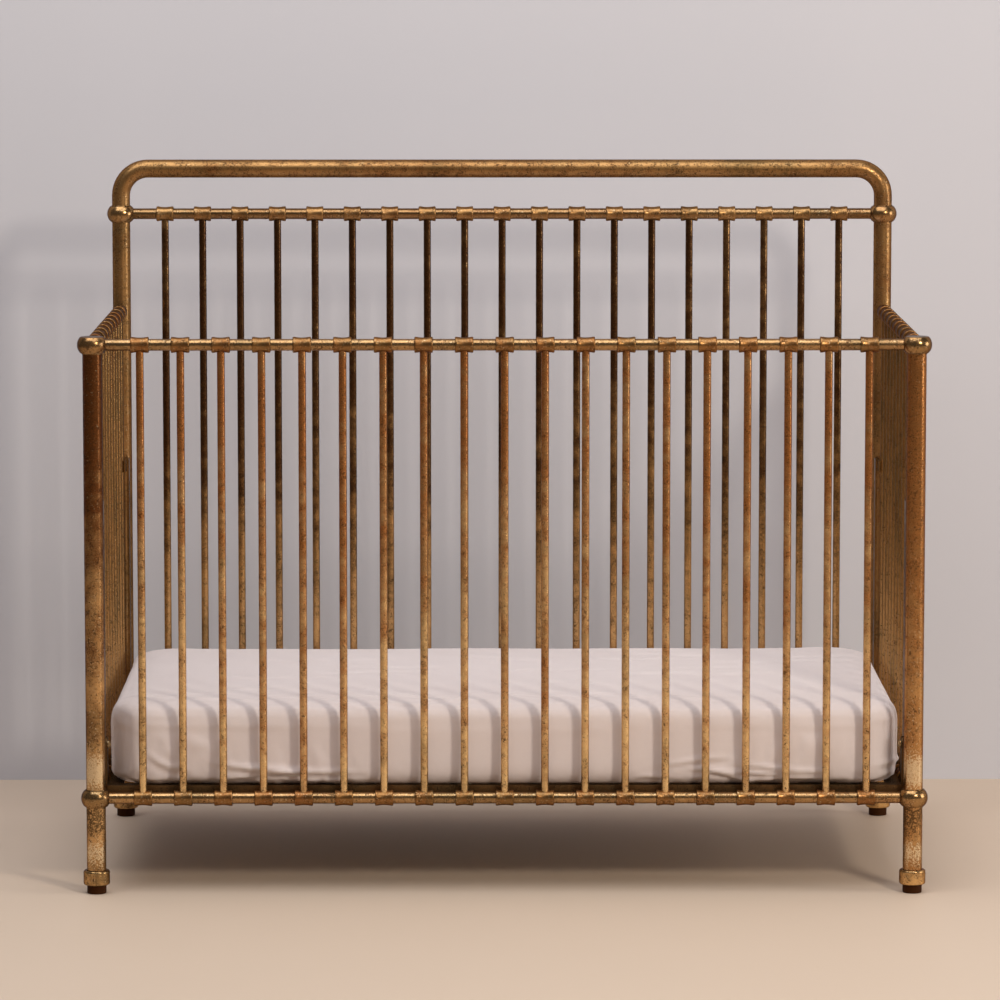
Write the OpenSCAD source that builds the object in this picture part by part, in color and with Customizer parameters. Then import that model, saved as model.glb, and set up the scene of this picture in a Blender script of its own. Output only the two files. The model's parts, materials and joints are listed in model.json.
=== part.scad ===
// Steel crib: four round posts with ball castings, spindle panels on all sides, a round-cornered
// hoop over the back, and a mattress deck that bolts at four heights.
// Millimetres. X runs along the crib, Y from its front to its back and Z up. The origin is on the
// floor, under the middle of the crib.

/* [Sleeping space] */
// Clear length between the spindles of the two ends
inside_l = 1330; // [1200:1:1400]
// Clear width between the front and back spindles
inside_w = 716; // [650:1:780]

/* [Heights of the tube centres] */
// Front and end bottom rails
bottom_rail_z = 158; // [145:1:220]
// Front and end top rails
top_rail_z = 905; // [860:1:980]
// Top of the hoop
hoop_z = 1154; // [1140:1:1260]
// Drop from the top of the hoop to the upper back rail
rail_below_hoop = 79.5; // [70:0.5:110]

/* [Tubes] */
// Outside diameter of the posts and of the hoop
post_d = 31.75; // [28:0.25:38]
// Wall of the posts and of the hoop
post_wall = 1.2; // [1:0.1:2.5]
// Outside diameter of the rails
rail_d = 19.05; // [17:0.05:22]
// Wall of the rails
rail_wall = 1.2; // [1:0.1:2.5]
// Diameter of the spindles
rod_d = 12.7; // [10:0.1:14]
// Wall of the spindles
rod_wall = 0.8; // [0.6:0.1:2]
// Bend radius of the hoop, at the tube's centre line
hoop_bend_r = 47.5; // [40:0.5:60]

/* [Spindle spacing] */
// Spindle pitch along the front and back
long_pitch = 66; // [60:0.5:70]
// Spindle pitch along the ends
short_pitch = 64.5; // [60:0.5:70]
// Smallest clear gap between a post and the first spindle
min_end_gap = 45; // [40:1:50]

/* [Ball castings] */
// Diameter of a ball across its middle
ball_d = 49; // [46:0.5:60]
// Height of a ball with its two lips
ball_h = 30; // [28:0.5:36]
// Radius of the arc that swells the ball
ball_arc_r = 18.75; // [17:0.25:22]
// Height of the lip at each end of a ball
ball_lip_h = 1.6; // [1:0.1:3]
// How far the lip stands out from the post
ball_lip_t = 1.3; // [0.8:0.1:2.5]
// Height of the closed top of a front ball above its middle
cap_h = 13.4; // [12:0.1:14.5]
// Thickness of the closed top
cap_t = 4; // [2:0.5:4]
// Rounding of the edge of that top
cap_round = 3; // [1:0.5:4]

/* [Spindle collars] */
// Length of a collar along its rail
collar_l = 30; // [26:0.5:34]
// Diameter of a collar over its two rims
collar_d = 26; // [25:0.5:30]
// How deep the waist between the rims is
collar_waist = 1.2; // [0.4:0.1:1.5]
// Width of each rim
collar_rim_w = 3.4; // [3:0.1:5]
// Rounding of the rims
collar_round = 1.5; // [0.5:0.1:1.5]

/* [Feet] */
// Diameter of the ferrule round the bottom of a post
ferrule_d = 43.5; // [42:0.5:52]
// Height of the ferrule
ferrule_h = 24.5; // [20:0.5:30]
// Rounding of the ferrule's edges
ferrule_round = 3.5; // [1:0.5:4]
// Height of a glide below the ferrule
glide_h = 14; // [10:0.5:20]
// Rounding of a glide's bottom edge
glide_round = 1.5; // [0.5:0.1:3]
// Diameter of a glide's threaded stud
stud_d = 10; // [8:1:12]
// Length of the stud above the glide
stud_l = 30; // [25:1:40]
// Height of the threaded insert in the post
insert_h = 34; // [20:1:40]

/* [Panel bolts] */
// Diameter of the bolts that hold the panels together
bolt_d = 6; // [5:1:7]
// Diameter of their heads
bolt_head_d = 10; // [9:0.5:11]
// Thickness of their heads
bolt_head_t = 5.4; // [3:0.1:5.5]
// Width across the flats of the key socket
key_af = 4; // [3:0.5:5]
// Depth of the key socket
key_depth = 2.5; // [1:0.5:3]
// Length of the threaded plug in a rail's end
plug_l = 26; // [20:1:40]

/* [Mattress deck] */
// Height of the deck's top face at the lowest setting
deck_z = 175.7; // [172:0.1:200]
// Rise from one height setting to the next
step_h = 120; // [90:1:120]
// Number of height settings
settings = 4; // [3:1:4]
// Leg of the deck's steel angle
angle_leg = 25; // [20:1:30]
// Thickness of the steel angle
angle_t = 2; // [1.5:0.1:4]
// Clear space between the deck and the front and back spindles
deck_side_gap = 13.6; // [10:0.1:20]
// Number of slats
slats = 14; // [10:1:18]
// Width of a slat
slat_w = 30; // [20:1:40]
// Thickness of a slat
slat_t = 2; // [1.5:0.1:4]
// Side of the square bar under the slats
centre_bar = 20; // [15:1:25]
// Wall of the square bar
centre_bar_wall = 1.5; // [1:0.1:2]

/* [Deck arms and strips] */
// Width of an arm and of a height strip
strip_w = 25; // [22:1:30]
// Thickness of a height strip
strip_t = 4; // [3:0.1:5]
// Thickness of an arm
arm_t = 3; // [2:0.1:3.5]
// Height of an arm's bolt above the deck's top face
arm_bolt_up = 65; // [50:1:90]
// Diameter of the arm bolts
arm_bolt_d = 8; // [6:1:8]
// Diameter of their domed heads
arm_head_d = 14; // [12:0.5:16]
// Thickness of their heads
arm_head_t = 6; // [4:0.1:6.5]
// Width across the flats of the key socket in their heads
arm_key_af = 5; // [4:0.5:6]
// Width across the flats of their nuts
arm_bolt_af = 13; // [12:0.5:14]
// Thickness of their nuts
arm_nut_t = 6.5; // [5:0.1:7]
// How much wider than the slot the seat at each setting is
seat_extra = 2; // [1:0.5:4]
// Height of the tab that welds a strip to its post
lug_h = 20; // [15:1:30]
// Clear height between the slot and that tab
lug_gap = 20; // [15:1:40]

/* [Mattress] */
// Clear space between the mattress and the end spindles
mattress_end_gap = 9.5; // [9:0.1:14]
// Clear space between the mattress and the front and back spindles
mattress_side_gap = 12; // [10:0.1:16]
// Thickness of the mattress in its sheet
mattress_h = 134; // [110:1:152]
// Corner radius of the mattress, seen from above
mattress_corner_r = 75; // [65:1:110]
// Rounding of the mattress's long edges
mattress_edge_r = 26; // [15:1:35]
// Thickness of the mattress's quilted cover
cover_t = 8; // [5:0.5:15]
// Thickness of the fitted sheet
sheet_t = 1; // [0.6:0.1:2]
// How far the sheet's hem reaches in under the mattress
hem_reach = 90; // [60:5:150]

/* [Clearances] */
// Between a tube and the casting or collar round it, on the radius
slip_fit = 0.1; // [0.05:0.05:0.2]
// Between faces that are welded or seated
seat_gap = 0.1; // [0.05:0.05:0.3]
// Between a tube's end and the tube that it meets
end_gap = 0.3; // [0.1:0.1:0.5]
// Between a bolt and the hole that it passes through, on the radius
bolt_fit = 0.2; // [0.1:0.1:0.4]
// Between a thread and its nut, on the radius
thread_fit = 0.05; // [0.02:0.01:0.1]
// Between an arm and its strip, and round a bolt in its slot
slide_fit = 0.3; // [0.2:0.1:0.5]
// Between the mattress, its sheet and the deck
soft_gap = 0.3; // [0.2:0.1:0.5]

/* [Hidden] */

$fn = 64;
soft_fn = 32;
arc_fn = 128;
cut = 1;

gold = "#9a6a34";
dark_gold = "#6d4a26";
pale_gold = "#b48a52";
zinc = "#a9a49a";
brown_plastic = "#2e1c12";
blush = "#d6bfba";
ticking = "#eceae4";

post_r = post_d / 2;
rail_r = rail_d / 2;
rod_r = rod_d / 2;

back_rail_z = hoop_z - rail_below_hoop;

// Post axes: the spindles of each side stand in line with them.
post_x = (inside_l + rod_d) / 2;
post_y = (inside_w + rod_d) / 2;
tube_stop = post_r + end_gap;
foot_z = glide_h + seat_gap;

// Spindles: as many as the side takes at its pitch, centred between the posts.
function rod_count(half, pitch) = floor((2 * half - post_d - rod_d - 2 * min_end_gap) / pitch) + 1;
long_rods = rod_count(post_x, long_pitch);
short_rods = rod_count(post_y, short_pitch);
function rod_at(i, count, pitch) = (i - (count - 1) / 2) * pitch;
first_rod = post_y - (short_rods - 1) / 2 * short_pitch;
rod_stop = rail_r + end_gap;

// Height strips stand midway between a post and the first end spindle, on the bottom rail.
strip_in = (post_r + first_rod - rod_r) / 2;
strip_y = post_y - strip_in;
strip_back = post_x - rail_r - seat_gap;
strip_face = strip_back - strip_t;
arm_face = strip_face - slide_fit;
deck_x = arm_face - arm_t;
travel = (settings - 1) * step_h;
arm_bolt_z = deck_z + arm_bolt_up;
slot_r = arm_bolt_d / 2 + slide_fit;
lug_z = arm_bolt_z + travel + slot_r + lug_gap;

// Deck: two long angles, with the end angles and evenly spaced slats lapped under their top legs.
deck_y = post_y - rod_r - deck_side_gap;
under_z = deck_z - angle_t;
slat_y = deck_y - angle_t;
slat_pitch = (2 * (deck_x - angle_leg) + slat_w) / (slats + 1);
bar_z = under_z - max(slat_t, angle_t);
bar_x = deck_x - angle_t - seat_gap;

// Mattress
mattress_l = inside_l - 2 * mattress_end_gap;
mattress_w = inside_w - 2 * mattress_side_gap;
mattress_z = deck_z + soft_gap;
skin = sheet_t + soft_gap;

// ---- Helpers ----

module corner(left, back) {
    translate([left ? -post_x : post_x, back ? post_y : -post_y, 0])
        mirror([left ? 1 : 0, 0, 0]) mirror([0, back ? 1 : 0, 0]) children();
}

module four_corners() {
    for (left = [true, false], back = [true, false]) corner(left, back) children();
}

// A tube from z = 0 up.
module tube(d, wall, l) {
    difference() {
        cylinder(d = d, h = l);
        translate([0, 0, -cut]) cylinder(d = d - 2 * wall, h = l + 2 * cut);
    }
}

// Lays what stands on z = 0 along +X, or along +Y.
module to_x() { rotate([0, 90, 0]) children(); }
module to_y() { rotate([-90, 0, 0]) children(); }

// Lays what stands on z = 0 from a corner towards its neighbour along X or Y, seen from the corner.
module inward_x() { rotate([0, -90, 0]) children(); }
module inward_y() { to_y() children(); }

module hex(af, h) { cylinder(d = af / cos(30), h = h, $fn = 6); }

// Copies children to each spindle of a long or of a short side.
module along_long() {
    for (i = [0 : long_rods - 1]) translate([rod_at(i, long_rods, long_pitch), 0, 0]) children();
}
module along_short() {
    for (i = [0 : short_rods - 1]) translate([0, rod_at(i, short_rods, short_pitch), 0]) children();
}

// ---- Posts and hoop ----

// In a corner's own directions +Y leads into the crib along the end rail, and -X along the front.
module bolt_holes_x() {
    for (z = [bottom_rail_z, top_rail_z]) translate([-post_d, 0, z])
        to_x() cylinder(r = bolt_d / 2 + bolt_fit, h = 2 * post_d);
}
module bolt_holes_y() {
    for (z = [bottom_rail_z, top_rail_z]) translate([0, -post_d, z])
        to_y() cylinder(r = bolt_d / 2 + bolt_fit, h = 2 * post_d);
}

module front_post() {
    color(gold) difference() {
        translate([0, 0, foot_z])
            tube(post_d, post_wall, top_rail_z + cap_h - cap_t - seat_gap - foot_z);
        bolt_holes_x();
    }
}

module back_post() {
    color(gold) difference() {
        translate([0, 0, foot_z]) tube(post_d, post_wall, back_rail_z - seat_gap / 2 - foot_z);
        bolt_holes_y();
    }
}

module front_left_post() { corner(true, false) front_post(); }
module front_right_post() { corner(false, false) front_post(); }
module back_left_post() { corner(true, true) back_post(); }
module back_right_post() { corner(false, true) back_post(); }

module hoop_section() {
    difference() {
        circle(r = post_r);
        circle(r = post_r - post_wall);
    }
}

module hoop_half() {
    bend_x = post_x - hoop_bend_r;
    bend_z = hoop_z - hoop_bend_r;
    leg_z = back_rail_z + seat_gap / 2;
    translate([post_x, 0, leg_z]) linear_extrude(bend_z - leg_z) hoop_section();
    translate([bend_x, 0, bend_z]) rotate([90, 0, 0])
        rotate_extrude(angle = 90) translate([hoop_bend_r, 0]) hoop_section();
    translate([0, 0, hoop_z]) rotate([0, 90, 0]) linear_extrude(bend_x) hoop_section();
}

module back_hoop() {
    color(gold) translate([0, post_y, 0]) {
        hoop_half();
        mirror([1, 0, 0]) hoop_half();
    }
}

// Sleeves inside the joint of each back post and the hoop.
module hoop_sleeves() {
    sleeve_l = ball_h;
    color(zinc) for (side = [-1, 1]) translate([side * post_x, post_y, back_rail_z - sleeve_l / 2])
        tube(post_d - 2 * post_wall - 2 * slip_fit, post_wall, sleeve_l);
}

// ---- Rails ----

module long_rail(y, z) {
    color(pale_gold) translate([tube_stop - post_x, y, z])
        to_x() tube(rail_d, rail_wall, 2 * (post_x - tube_stop));
}

module front_top_rail() { long_rail(-post_y, top_rail_z); }
module front_bottom_rail() { long_rail(-post_y, bottom_rail_z); }
module back_top_rail() { long_rail(post_y, back_rail_z); }
module back_bottom_rail() { long_rail(post_y, bottom_rail_z); }

// An end rail is square at the front and coped round the back post.
module end_rail(x, z) {
    color(pale_gold) difference() {
        translate([x, tube_stop - post_y, z]) to_y() tube(rail_d, rail_wall, 2 * post_y - tube_stop);
        translate([x, post_y, z - rail_d]) cylinder(r = tube_stop, h = 2 * rail_d);
    }
}

module left_top_rail() { end_rail(-post_x, top_rail_z); }
module right_top_rail() { end_rail(post_x, top_rail_z); }
module left_bottom_rail() { end_rail(-post_x, bottom_rail_z); }
module right_bottom_rail() { end_rail(post_x, bottom_rail_z); }

// ---- Spindles and their collars ----

module rod(low_rail, high_rail) {
    translate([0, 0, low_rail + rod_stop]) tube(rod_d, rod_wall, high_rail - low_rail - 2 * rod_stop);
}

module front_spindles() {
    color(gold) translate([0, -post_y, 0]) along_long() rod(bottom_rail_z, top_rail_z);
}
module back_spindles() {
    color(dark_gold) translate([0, post_y, 0]) along_long() rod(bottom_rail_z, back_rail_z);
}
module end_spindles(x) {
    color(gold) translate([x, 0, 0]) along_short() rod(bottom_rail_z, top_rail_z);
}
module left_spindles() { end_spindles(-post_x); }
module right_spindles() { end_spindles(post_x); }

// A collar's outline over its rail: two rounded rims with a shallow waist between them.
module collar_outline() {
    bore = rail_r + slip_fit;
    half_waist = collar_l / 2 - collar_rim_w;
    waist_r = (half_waist * half_waist + collar_waist * collar_waist) / (2 * collar_waist);
    difference() {
        union() {
            translate([bore, -collar_l / 2]) square([collar_d / 2 - collar_round - bore, collar_l]);
            translate([bore, collar_round - collar_l / 2])
                square([collar_d / 2 - bore, collar_l - 2 * collar_round]);
            for (end = [-1, 1])
                translate([collar_d / 2 - collar_round, end * (collar_l / 2 - collar_round)])
                    circle(r = collar_round, $fn = 24);
        }
        translate([collar_d / 2 + waist_r - collar_waist, 0]) circle(r = waist_r, $fn = arc_fn);
    }
}

// A collar round a rail along X; its spindle enters from below, or from above.
module collar(below) {
    difference() {
        to_x() rotate([0, 0, 90]) rotate_extrude() collar_outline();
        rotate([below ? 180 : 0, 0, 0]) cylinder(r = rod_r + slip_fit, h = collar_d);
    }
}

module long_collars(y, z, below) {
    color(gold) translate([0, y, z]) along_long() collar(below);
}
module end_collars(x, z, below) {
    color(gold) translate([x, 0, z]) along_short() rotate([0, 0, 90]) collar(below);
}

module front_top_collars() { long_collars(-post_y, top_rail_z, true); }
module front_bottom_collars() { long_collars(-post_y, bottom_rail_z, false); }
module back_top_collars() { long_collars(post_y, back_rail_z, true); }
module back_bottom_collars() { long_collars(post_y, bottom_rail_z, false); }
module left_top_collars() { end_collars(-post_x, top_rail_z, true); }
module right_top_collars() { end_collars(post_x, top_rail_z, true); }
module left_bottom_collars() { end_collars(-post_x, bottom_rail_z, false); }
module right_bottom_collars() { end_collars(post_x, bottom_rail_z, false); }

// ---- Ball castings ----

// Half of a ball's section: a swelling arc between two rounded lips, with its top closed or open.
module ball_lip() {
    half = ball_lip_h / 2;
    lip_r = post_r + ball_lip_t;
    translate([0, ball_h / 2 - ball_lip_h - cut]) square([lip_r - half, ball_lip_h + cut]);
    translate([lip_r - half, ball_h / 2 - half]) circle(r = half, $fn = 24);
}

module ball_outline(closed) {
    swell = ball_h / 2 - ball_lip_h;
    arc_x = ball_d / 2 - ball_arc_r;
    // The top's rounding touches the swelling arc at this height.
    round_z = cap_h - cap_round;
    round_x = arc_x + sqrt(pow(ball_arc_r - cap_round, 2) - round_z * round_z);
    high = closed ? round_z * ball_arc_r / (ball_arc_r - cap_round) : swell;
    intersection() {
        translate([arc_x, 0]) circle(r = ball_arc_r, $fn = arc_fn);
        translate([0, -swell]) square([ball_d / 2, high + swell]);
    }
    if (closed) {
        square([round_x, cap_h]);
        translate([round_x, round_z]) circle(r = cap_round, $fn = 48);
    } else ball_lip();
    mirror([0, 1]) ball_lip();
}

// Socket for a rail and, on the far side of the post, the seat of a bolt's head.
module rail_socket() { cylinder(r = rail_r + slip_fit, h = ball_d); }
module bolt_seat() {
    seat = ball_d / 2 - bolt_head_t - seat_gap;
    cylinder(r = bolt_d / 2 + bolt_fit, h = ball_d);
    translate([0, 0, seat]) cylinder(r = bolt_head_d / 2 + bolt_fit, h = ball_d);
}

module ball(closed = false) {
    bore_top = closed ? cap_h - cap_t : ball_h;
    difference() {
        rotate([0, 0, 180]) rotate_extrude() ball_outline(closed);
        translate([0, 0, -ball_h]) cylinder(r = post_r + slip_fit, h = ball_h + bore_top);
        children();
    }
}

// A front corner takes two rails, and its bolt goes in along X. A back one's goes in along Y.
module front_ball(z, closed) {
    color(gold) translate([0, 0, z]) ball(closed) {
        inward_x() rail_socket();
        inward_y() rail_socket();
        to_x() bolt_seat();
    }
}
module back_ball() {
    color(gold) translate([0, 0, bottom_rail_z]) ball() {
        inward_x() rail_socket();
        inward_y() rail_socket();
        rotate([90, 0, 0]) bolt_seat();
    }
}
module hoop_ball() {
    color(gold) translate([0, 0, back_rail_z]) ball() { inward_x() rail_socket(); }
}

module front_left_top_ball() { corner(true, false) front_ball(top_rail_z, true); }
module front_right_top_ball() { corner(false, false) front_ball(top_rail_z, true); }
module front_left_bottom_ball() { corner(true, false) front_ball(bottom_rail_z, false); }
module front_right_bottom_ball() { corner(false, false) front_ball(bottom_rail_z, false); }
module back_left_top_ball() { corner(true, true) hoop_ball(); }
module back_right_top_ball() { corner(false, true) hoop_ball(); }
module back_left_bottom_ball() { corner(true, true) back_ball(); }
module back_right_bottom_ball() { corner(false, true) back_ball(); }

// ---- Feet ----

module ferrule_outline() {
    bore = post_r + slip_fit;
    outer = ferrule_d / 2;
    difference() {
        union() {
            square([outer - ferrule_round, ferrule_h]);
            translate([0, ferrule_round]) square([outer, ferrule_h - 2 * ferrule_round]);
            for (z = [ferrule_round, ferrule_h - ferrule_round])
                translate([outer - ferrule_round, z]) circle(r = ferrule_round, $fn = 32);
        }
        translate([0, -cut]) square([bore, ferrule_h + 2 * cut]);
    }
}

module foot_ferrules() {
    color(gold) four_corners() translate([0, 0, foot_z]) rotate_extrude() ferrule_outline();
}

module foot_inserts() {
    color(zinc) four_corners() translate([0, 0, foot_z]) difference() {
        cylinder(r = post_r - post_wall - slip_fit, h = insert_h);
        translate([0, 0, -cut]) cylinder(r = stud_d / 2 + thread_fit, h = insert_h + 2 * cut);
    }
}

// A moulded disc on a threaded stud, which turns in the insert to level the crib.
module glide() {
    color(brown_plastic) {
        rotate_extrude() {
            square([post_r - glide_round, glide_h]);
            translate([0, glide_round]) square([post_r, glide_h - glide_round]);
            translate([post_r - glide_round, glide_round]) circle(r = glide_round, $fn = 24);
        }
        translate([0, 0, glide_h - cut]) cylinder(d = stud_d, h = stud_l + cut);
    }
}

module front_left_glide() { corner(true, false) glide(); }
module front_right_glide() { corner(false, false) glide(); }
module back_left_glide() { corner(true, true) glide(); }
module back_right_glide() { corner(false, true) glide(); }

// ---- Panel bolts ----

// A domed bolt along +Z with a key socket: its head rests on z = 0 and its shank points down.
module domed_bolt(shank_d, shank, head_d, head_t, dome_r, af) {
    difference() {
        union() {
            translate([0, 0, -shank]) cylinder(d = shank_d, h = shank + cut);
            intersection() {
                cylinder(d = head_d, h = head_t);
                translate([0, 0, head_t - dome_r]) sphere(r = dome_r);
            }
        }
        translate([0, 0, head_t - key_depth]) hex(af, key_depth + cut);
    }
}

module panel_bolt(shank) {
    domed_bolt(bolt_d, shank, bolt_head_d, bolt_head_t, bolt_head_d, key_af);
}

// Shank length from a seat at this distance outside the post's axis to the end of the plug.
function shank_from(seat) = seat + tube_stop + plug_l - bolt_d;
ball_seat = ball_d / 2 - bolt_head_t;
post_seat = post_r + seat_gap;

module front_panel_bolts() {
    color(dark_gold) for (left = [true, false], z = [bottom_rail_z, top_rail_z]) corner(left, false)
        translate([ball_seat, 0, z]) to_x() panel_bolt(shank_from(ball_seat));
}

module end_panel_bolts() {
    color(dark_gold) for (left = [true, false]) corner(left, true) {
        translate([0, -ball_seat, bottom_rail_z]) rotate([90, 0, 0]) panel_bolt(shank_from(ball_seat));
        translate([0, -post_seat, top_rail_z]) rotate([90, 0, 0]) panel_bolt(shank_from(post_seat));
    }
}

// Threaded plugs in the ends of the rails that are bolted on.
module plug() {
    difference() {
        cylinder(r = rail_r - rail_wall - slip_fit, h = plug_l);
        translate([0, 0, -cut]) cylinder(r = bolt_d / 2 + thread_fit, h = plug_l + 2 * cut);
    }
}

module rail_plugs() {
    color(zinc) for (left = [true, false], z = [bottom_rail_z, top_rail_z]) {
        corner(left, false) translate([-tube_stop, 0, z]) inward_x() plug();
        corner(left, true) translate([0, tube_stop, z]) inward_y() plug();
    }
}

// ---- Height strips ----

// A flat bar on the end panel with a long slot, widened to a seat at each setting, and a tab at
// its top. In a corner's own directions: x is measured from the post's axis, out of the crib.
module height_strip() {
    low = bottom_rail_z - rail_r;
    high = lug_z + lug_h;
    plane = strip_face - post_x;
    difference() {
        translate([plane, strip_in - strip_w / 2, low]) cube([strip_t, strip_w, high - low]);
        translate([plane - cut, strip_in - slot_r, arm_bolt_z])
            cube([strip_t + 2 * cut, 2 * slot_r, travel]);
        for (i = [0 : settings - 1]) translate([plane - cut, strip_in, arm_bolt_z + i * step_h])
            to_x() cylinder(r = slot_r + seat_extra / 2, h = strip_t + 2 * cut);
    }
    lug_x = strip_back - post_x;
    lug_t = rail_r - rod_r;
    lug_y = sqrt(post_r * post_r - rod_r * rod_r) + seat_gap;
    translate([lug_x, lug_y, lug_z]) cube([lug_t, first_rod + rod_r - lug_y, lug_h]);
}

module left_height_strips() {
    color(gold) for (back = [true, false]) corner(true, back) height_strip();
}
module right_height_strips() {
    color(gold) for (back = [true, false]) corner(false, back) height_strip();
}

// ---- Mattress deck ----

// An angle of this length along +X: one leg flat on top, the other down its outer side at y = 0.
module steel_angle(l) {
    translate([0, 0, -angle_t]) cube([l, angle_leg, angle_t]);
    translate([0, 0, -angle_leg]) cube([l, angle_t, angle_leg]);
}

module deck_long_angles() {
    color(dark_gold) for (turn = [0, 180]) rotate([0, 0, turn])
        translate([-deck_x, -deck_y, deck_z]) steel_angle(2 * deck_x);
}

module deck_end_angles() {
    color(dark_gold) for (turn = [90, 270]) rotate([0, 0, turn])
        translate([-slat_y, -deck_x, under_z]) steel_angle(2 * slat_y);
}

module deck_slats() {
    color(dark_gold) for (i = [0 : slats - 1])
        translate([rod_at(i, slats, slat_pitch) - slat_w / 2, -slat_y, under_z - slat_t])
            cube([slat_w, 2 * slat_y, slat_t]);
}

module deck_centre_bar() {
    inner = centre_bar - 2 * centre_bar_wall;
    color(dark_gold) translate([-bar_x, -centre_bar / 2, bar_z - centre_bar]) difference() {
        cube([2 * bar_x, centre_bar, centre_bar]);
        translate([-cut, centre_bar_wall, centre_bar_wall]) cube([2 * bar_x + 2 * cut, inner, inner]);
    }
}

// An arm rises from the deck's end to its bolt and has a round top.
module deck_arm() {
    low = under_z - angle_leg;
    plane = deck_x - post_x;
    difference() {
        union() {
            translate([plane, strip_in - strip_w / 2, low]) cube([arm_t, strip_w, arm_bolt_z - low]);
            translate([plane, strip_in, arm_bolt_z]) to_x() cylinder(d = strip_w, h = arm_t);
        }
        translate([plane - cut, strip_in, arm_bolt_z])
            to_x() cylinder(r = arm_bolt_d / 2 + bolt_fit, h = arm_t + 2 * cut);
    }
}

module deck_arms() { color(dark_gold) four_corners() deck_arm(); }

module at_arm_bolt(x) {
    four_corners() translate([x - post_x, strip_in, arm_bolt_z]) to_x() children();
}

module arm_bolts() {
    shank = strip_back + 2 * seat_gap + arm_nut_t + arm_bolt_d / 4 - deck_x;
    dome_r = 0.54 * arm_head_d;
    color(pale_gold) at_arm_bolt(deck_x - seat_gap) mirror([0, 0, 1])
        domed_bolt(arm_bolt_d, shank, arm_head_d, arm_head_t, dome_r, arm_key_af);
}

module arm_nuts() {
    color(pale_gold) at_arm_bolt(strip_back + seat_gap) difference() {
        hex(arm_bolt_af, arm_nut_t);
        translate([0, 0, -cut]) cylinder(r = arm_bolt_d / 2 + thread_fit, h = arm_nut_t + 2 * cut);
    }
}

// ---- Mattress ----

// A block with rounded corners and edges, shrunk on every side, standing on z = shrink.
module soft_block(shrink) {
    round_r = mattress_edge_r - shrink;
    puck_r = mattress_corner_r - shrink;
    reach_x = mattress_l / 2 - mattress_corner_r;
    reach_y = mattress_w / 2 - mattress_corner_r;
    hull() for (x = [-reach_x, reach_x], y = [-reach_y, reach_y],
                z = [mattress_edge_r, mattress_h - mattress_edge_r])
        translate([x, y, z]) rotate_extrude($fn = soft_fn)
            translate([puck_r - round_r, 0]) circle(r = round_r, $fn = soft_fn);
}

// The quilted cover, closed all round; its light filling is left out.
module mattress_core() {
    color(ticking) translate([0, 0, mattress_z]) difference() {
        soft_block(skin);
        soft_block(skin + cover_t);
    }
}

// The sheet wraps the mattress and is open inside its hem below.
module fitted_sheet() {
    open_l = mattress_l - 2 * hem_reach;
    open_w = mattress_w - 2 * hem_reach;
    color(blush) translate([0, 0, mattress_z]) difference() {
        soft_block(0);
        soft_block(sheet_t);
        translate([-open_l / 2, -open_w / 2, -cut]) cube([open_l, open_w, mattress_edge_r]);
    }
}

front_left_post();
front_right_post();
back_left_post();
back_right_post();
back_hoop();
hoop_sleeves();
front_top_rail();
front_bottom_rail();
back_top_rail();
back_bottom_rail();
left_top_rail();
right_top_rail();
left_bottom_rail();
right_bottom_rail();
front_spindles();
back_spindles();
left_spindles();
right_spindles();
front_top_collars();
front_bottom_collars();
back_top_collars();
back_bottom_collars();
left_top_collars();
right_top_collars();
left_bottom_collars();
right_bottom_collars();
front_left_top_ball();
front_right_top_ball();
front_left_bottom_ball();
front_right_bottom_ball();
back_left_top_ball();
back_right_top_ball();
back_left_bottom_ball();
back_right_bottom_ball();
foot_ferrules();
foot_inserts();
front_left_glide();
front_right_glide();
back_left_glide();
back_right_glide();
front_panel_bolts();
end_panel_bolts();
rail_plugs();
left_height_strips();
right_height_strips();
deck_long_angles();
deck_end_angles();
deck_slats();
deck_centre_bar();
deck_arms();
arm_bolts();
arm_nuts();
mattress_core();
fitted_sheet();
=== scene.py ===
import json
import math

import bpy
import numpy as np
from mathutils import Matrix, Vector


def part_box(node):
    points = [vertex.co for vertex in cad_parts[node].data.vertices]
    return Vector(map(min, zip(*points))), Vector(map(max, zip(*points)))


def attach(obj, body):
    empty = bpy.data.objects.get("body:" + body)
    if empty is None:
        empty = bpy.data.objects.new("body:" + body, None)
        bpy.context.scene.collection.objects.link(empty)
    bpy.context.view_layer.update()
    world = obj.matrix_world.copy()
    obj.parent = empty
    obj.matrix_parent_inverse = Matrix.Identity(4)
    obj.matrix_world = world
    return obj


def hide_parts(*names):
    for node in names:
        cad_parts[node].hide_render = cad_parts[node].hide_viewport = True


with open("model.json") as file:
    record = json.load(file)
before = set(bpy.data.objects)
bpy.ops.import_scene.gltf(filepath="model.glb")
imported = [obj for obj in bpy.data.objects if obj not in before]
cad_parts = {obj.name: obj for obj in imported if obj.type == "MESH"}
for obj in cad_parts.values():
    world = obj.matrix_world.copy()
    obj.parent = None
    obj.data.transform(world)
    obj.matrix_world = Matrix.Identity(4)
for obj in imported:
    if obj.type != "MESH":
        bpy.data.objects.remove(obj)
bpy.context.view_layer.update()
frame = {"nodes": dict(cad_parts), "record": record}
nodes = frame["nodes"]
print("frame:", len(nodes), "nodes")


cameraSettings = {
    "place": (-0.0539, -8.7695, 1.6241),
    "pitchDown": 0.1153,  # radians
    "turnRight": 0.0055,
    "lens": 186.56,  # mm on a 36 mm sensor
}


def makeCamera(settings):
    data = bpy.data.cameras.new("camera")
    data.lens = settings["lens"]
    data.sensor_width = 36
    data.clip_end = 100
    camera = bpy.data.objects.new("camera", data)
    camera.location = settings["place"]
    camera.rotation_euler = (math.pi / 2 - settings["pitchDown"], 0, -settings["turnRight"])
    bpy.context.scene.collection.objects.link(camera)
    bpy.context.scene.camera = camera


makeCamera(cameraSettings)
print("camera: done")


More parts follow.
